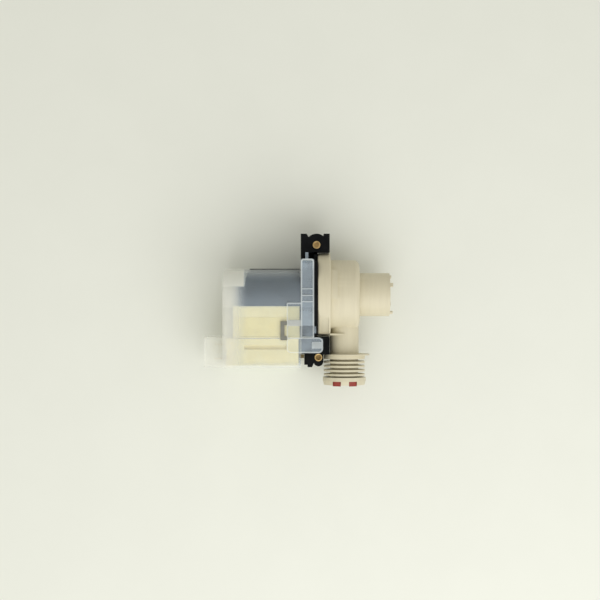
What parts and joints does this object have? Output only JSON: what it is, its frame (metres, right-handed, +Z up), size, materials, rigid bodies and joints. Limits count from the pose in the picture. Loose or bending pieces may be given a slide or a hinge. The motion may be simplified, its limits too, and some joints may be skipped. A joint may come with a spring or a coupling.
{
  "type": "washer drain pump",
  "caption": "Magnet-driven drain pump with a round inlet spigot, ringed side outlet with check valve, black base with threaded ears and a translucent motor cover.",
  "frame": {"origin": "on the pump axis at the root of the inlet spigot", "axes": "+X along the pump axis out of the inlet, -Y out of the outlet, +Z up with the pump lying as pictured"},
  "size_m": [0.1736, 0.14, 0.0768],
  "materials": {
    "volute_cream": "fine moulded satin",
    "seal_rubber": "matte",
    "base_black": "glass-filled, faintly speckled",
    "bush_bronze": "sintered",
    "washer_white": "satin",
    "valve_red": "semi gloss",
    "bright_steel": "ground",
    "insert_brass": "turned",
    "core_steel": "varnished laminations",
    "coil_cream": "satin",
    "copper_wire": "enamelled",
    "coil_tape": "satin tape",
    "cover_milky": "translucent satin",
    "clip_grey": "satin",
    "impeller_white": "satin",
    "magnet_ferrite": "ground ferrite"
  },
  "bodies": {
    "pump": {"volute_housing": "volute_cream", "spigot_tube": "volute_cream", "outlet_pipe": "volute_cream", "housing_seal": "seal_rubber", "bearing_carrier": "base_black", "shaft_seal": "seal_rubber", "front_bush": "bush_bronze", "rear_bush": "bush_bronze", "thrust_washers": "washer_white", "valve_cartridge": "valve_red", "flap_pin": "bright_steel", "motor_base": "base_black", "upper_ear": "base_black", "lower_ear": "base_black", "ear_inserts": "insert_brass", "stator_shroud": "base_black", "stator_core": "core_steel", "coil_bobbin_upper": "coil_cream", "coil_bobbin_lower": "coil_cream", "winding_upper": "copper_wire", "winding_lower": "copper_wire", "coil_wrap_upper": "coil_tape", "coil_wrap_lower": "coil_tape", "terminal_carrier": "coil_cream", "spade_terminals": "insert_brass", "earth_tab": "insert_brass", "thermal_cutout": "base_black", "motor_cover": "cover_milky", "latch_clip": "clip_grey"},
    "impeller_shaft": {"impeller": "impeller_white", "rotor_shaft": "bright_steel", "shaft_driver": "washer_white", "driver_bumper": "seal_rubber"},
    "rotor": {"rotor_hub": "washer_white", "rotor_magnet": "magnet_ferrite"},
    "flap": {"valve_flap": "seal_rubber"}
  },
  "joints": [
    {"name": "impeller_spin", "type": "hinge", "parent": "pump", "child": "impeller_shaft", "pos_m": [0, 0, 0], "axis": [1, 0, 0], "continuous": true},
    {"name": "rotor_play", "type": "hinge", "parent": "impeller_shaft", "child": "rotor", "pos_m": [0, 0, 0], "axis": [1, 0, 0], "range_deg": [-70, 70]},
    {"name": "flap_swing", "type": "hinge", "parent": "pump", "child": "flap", "pos_m": [-0.0136, -0.0615, 0.007], "axis": [-1, 0, 0], "range_deg": [0, 60]}
  ]
}
